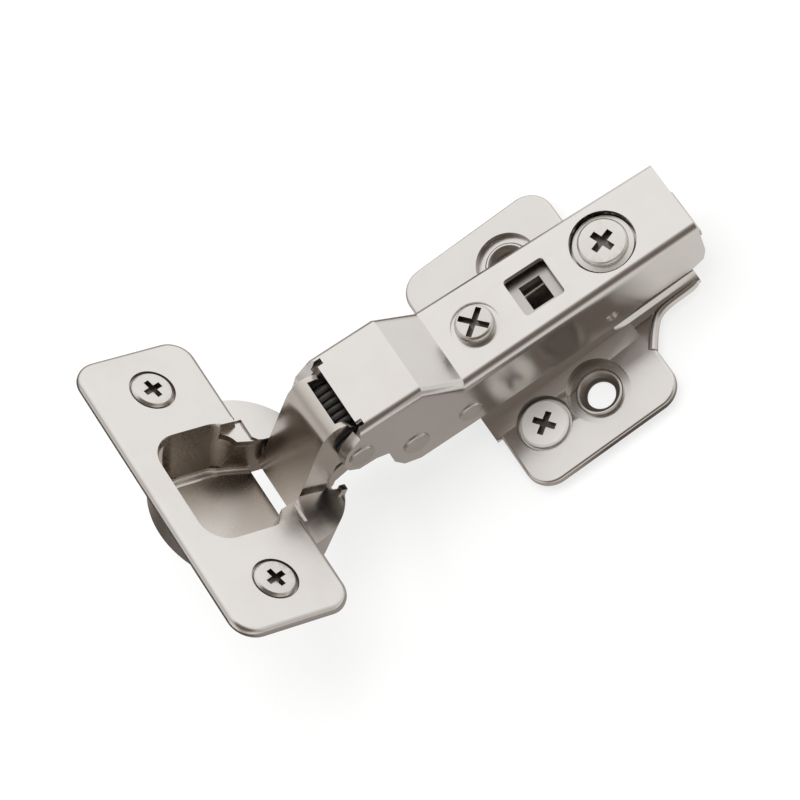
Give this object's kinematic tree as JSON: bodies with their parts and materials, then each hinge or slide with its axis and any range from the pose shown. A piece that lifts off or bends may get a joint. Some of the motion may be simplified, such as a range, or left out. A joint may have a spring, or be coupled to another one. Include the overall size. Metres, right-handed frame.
{
  "type": "concealed cup hinge",
  "caption": "Concealed clip-on cabinet door hinge: drawn cup with flange, cranked channel arm with adjusting screws, and a winged mounting plate, half open.",
  "frame": {"origin": "midway between the two cabinet screw holes, on the plate's underside", "axes": "+Z away from the cabinet's side panel, +X along the arm into the cabinet, +Y along the plate's wings"},
  "size_m": [0.1111, 0.064, 0.0402],
  "materials": {
    "plate_steel": "satin nickel plate",
    "arm_steel": "satin nickel plate",
    "cup_steel": "satin nickel plate",
    "inner_steel": "satin nickel plate",
    "link_steel": "polished nickel plate",
    "screw_steel": "nickel plate",
    "pin_steel": "plain bright",
    "spring_steel": "blackened",
    "damper_plastic": "moulded, matt"
  },
  "bodies": {
    "plate": {"mounting_plate": "plate_steel"},
    "carriage": {"plate_carriage": "plate_steel", "clip_bracket": "inner_steel", "catch_pin": "pin_steel"},
    "height_screw": {"height_screw": "screw_steel"},
    "catch": {"clip_catch": "inner_steel"},
    "depth_plate": {"depth_plate": "inner_steel"},
    "depth_screw": {"depth_screw": "screw_steel"},
    "arm": {"hinge_arm": "arm_steel", "outer_link_rivet": "pin_steel", "inner_link_rivet": "pin_steel", "damper_rivet": "pin_steel", "damper_housing": "damper_plastic", "spring_sleeve": "damper_plastic", "closing_spring": "spring_steel", "link_washers": "damper_plastic"},
    "side_screw": {"side_screw": "screw_steel"},
    "piston": {"damper_piston": "pin_steel"},
    "outer_link": {"outer_link": "link_steel"},
    "inner_link": {"inner_link": "link_steel", "inner_link_pin": "pin_steel"},
    "cup_pin": {"cup_pin": "pin_steel"},
    "cup": {"hinge_cup": "cup_steel", "cup_screws": "screw_steel"}
  },
  "joints": [
    {"name": "height_slide", "type": "slide", "parent": "plate", "child": "carriage", "axis": [0, 1, 0], "range_m": [-0.0015, 0.0015]},
    {"name": "height_screw_turn", "type": "hinge", "parent": "carriage", "child": "height_screw", "pos_m": [-0.0115, -0.015, 0.002], "axis": [0, 0, 1], "range_deg": [-50, 50]},
    {"name": "catch_press", "type": "hinge", "parent": "carriage", "child": "catch", "pos_m": [0.02342, 0, 0.01088], "axis": [0, 1, 0], "range_deg": [-8, 0]},
    {"name": "depth_slide", "type": "slide", "parent": "carriage", "child": "depth_plate", "axis": [0.9948, 0, -0.1019], "range_m": [-0.002, 0.002]},
    {"name": "depth_screw_turn", "type": "hinge", "parent": "depth_plate", "child": "depth_screw", "pos_m": [0.01627, 0, 0.01865], "axis": [0.1019, 0, 0.9948], "range_deg": [-180, 180]},
    {"name": "side_tilt", "type": "hinge", "parent": "depth_plate", "child": "arm", "pos_m": [0.01623, 0, 0.01825], "axis": [0, 1, 0], "range_deg": [-1.6, 1.6]},
    {"name": "side_screw_turn", "type": "hinge", "parent": "arm", "child": "side_screw", "pos_m": [-0.01108, 0, 0.02246], "axis": [0.1019, 0, 0.9948], "range_deg": [-480, 480]},
    {"name": "outer_link_swing", "type": "hinge", "parent": "arm", "child": "outer_link", "pos_m": [-0.041, 0, 0.0254], "axis": [0, -1, 0], "range_deg": [0, 37]},
    {"name": "cup_pin_turn", "type": "hinge", "parent": "outer_link", "child": "cup_pin", "pos_m": [-0.05602, 0, 0.015], "axis": [0, -1, 0], "range_deg": [-88, 0]},
    {"name": "cup_swing", "type": "hinge", "parent": "cup_pin", "child": "cup", "pos_m": [-0.05602, 0, 0.015], "axis": [0, 1, 0], "range_deg": [-50, 0]},
    {"name": "inner_link_swing", "type": "hinge", "parent": "arm", "child": "inner_link", "pos_m": [-0.0321, 0, 0.0163], "axis": [0, -1, 0], "range_deg": [0, 36]},
    {"name": "damper_stroke", "type": "slide", "parent": "arm", "child": "piston", "axis": [0.9948, 0, -0.1019], "range_m": [0, 0.003]}
  ],
  "couplings": [
    {"joint": "height_screw_turn", "follows": "height_slide", "rad_per_m": -565},
    {"joint": "depth_screw_turn", "follows": "depth_slide", "rad_per_m": 1500},
    {"joint": "side_screw_turn", "follows": "side_tilt", "ratio": 295},
    {"joint": "cup_pin_turn", "follows": "outer_link_swing", "ratio": -2.351},
    {"joint": "inner_link_swing", "follows": "outer_link_swing", "ratio": 0.959},
    {"joint": "damper_stroke", "follows": "outer_link_swing", "m_per_rad": 0.0045}
  ]
}
